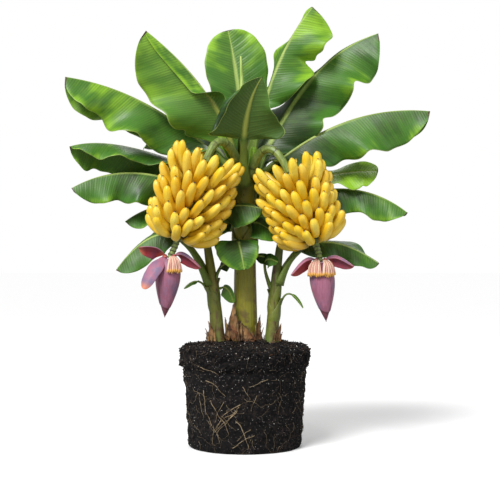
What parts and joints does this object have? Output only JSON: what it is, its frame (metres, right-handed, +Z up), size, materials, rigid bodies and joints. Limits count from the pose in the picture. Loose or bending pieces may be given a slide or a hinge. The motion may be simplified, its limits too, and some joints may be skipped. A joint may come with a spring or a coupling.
{
  "type": "banana plant",
  "caption": "Dwarf banana plant on its root ball, with sheath stems, broad leaves, hanging bunches of ripe fruit and purple flower buds.",
  "frame": {"origin": "centre of the root ball's flat underside", "axes": "+Z up along the main stem, -Y towards the front of the plant, +X to the right as seen from the front"},
  "size_m": [1.2245, 0.7403, 1.4887],
  "materials": {
    "soil": "crumbly, near-black brown, matt, with white grit and pale fine roots",
    "pseudostem": "smooth olive green leaf sheaths with brown and purple streaks, satin",
    "dry_sheath": "dry papery brown scales, matt",
    "leaf": "glossy mid green with fine cross veins, brighter and paler below, satin",
    "young_leaf": "rolled pale green spear, satin",
    "stalk": "green with brown ring scars, satin",
    "banana": "ripe yellow skin with small dark tips, satin",
    "bud": "purple-pink bracts wrapped tight, with a waxy bloom",
    "bract": "purple-pink outside, deep red inside, waxy",
    "floret": "cream florets with yellow tips, satin"
  },
  "bodies": {
    "root": {"bract_left_1": "bract", "bract_left_2": "bract", "bract_left_3": "bract", "bract_right_1": "bract", "bract_right_2": "bract", "bud_left": "bud", "bud_right": "bud", "florets_left_1": "floret", "florets_right_1": "floret", "florets_right_2": "floret", "hand_left_1": "banana", "hand_left_2": "banana", "hand_left_3": "banana", "hand_right_1": "banana", "hand_right_2": "banana", "hand_right_3": "banana", "leaf_back_centre": "leaf", "leaf_back_left": "leaf", "leaf_back_low_left": "leaf", "leaf_back_low_right": "leaf", "leaf_back_right": "leaf", "leaf_fold_left": "leaf", "leaf_fold_right": "leaf", "leaf_fold_upper": "leaf", "leaf_front_centre": "leaf", "leaf_heart_lower": "leaf", "leaf_left_bottom": "leaf", "leaf_left_high": "leaf", "leaf_left_inner": "leaf", "leaf_left_low": "leaf", "leaf_left_middle": "leaf", "leaf_left_short": "leaf", "leaf_right_bottom": "leaf", "leaf_right_high": "leaf", "leaf_right_inner": "leaf", "leaf_right_low": "leaf", "leaf_right_middle": "leaf", "leaf_right_short": "leaf", "leaf_round_inner": "leaf", "leaf_spear": "young_leaf", "leaf_sprig_left": "leaf", "leaf_sprig_right": "leaf", "leaf_top_back": "leaf", "leaf_top_right": "leaf", "leaf_upper_left": "leaf", "peduncle_left": "stalk", "peduncle_right": "stalk", "rachis_left": "stalk", "rachis_right": "stalk", "root_ball": "soil", "sheath_centre_front": "dry_sheath", "sheath_centre_left": "dry_sheath", "sheath_centre_right": "dry_sheath", "sheath_left": "dry_sheath", "sheath_right": "dry_sheath", "stem_centre": "pseudostem", "stem_left": "pseudostem", "stem_right": "pseudostem"}
  },
  "joints": []
}
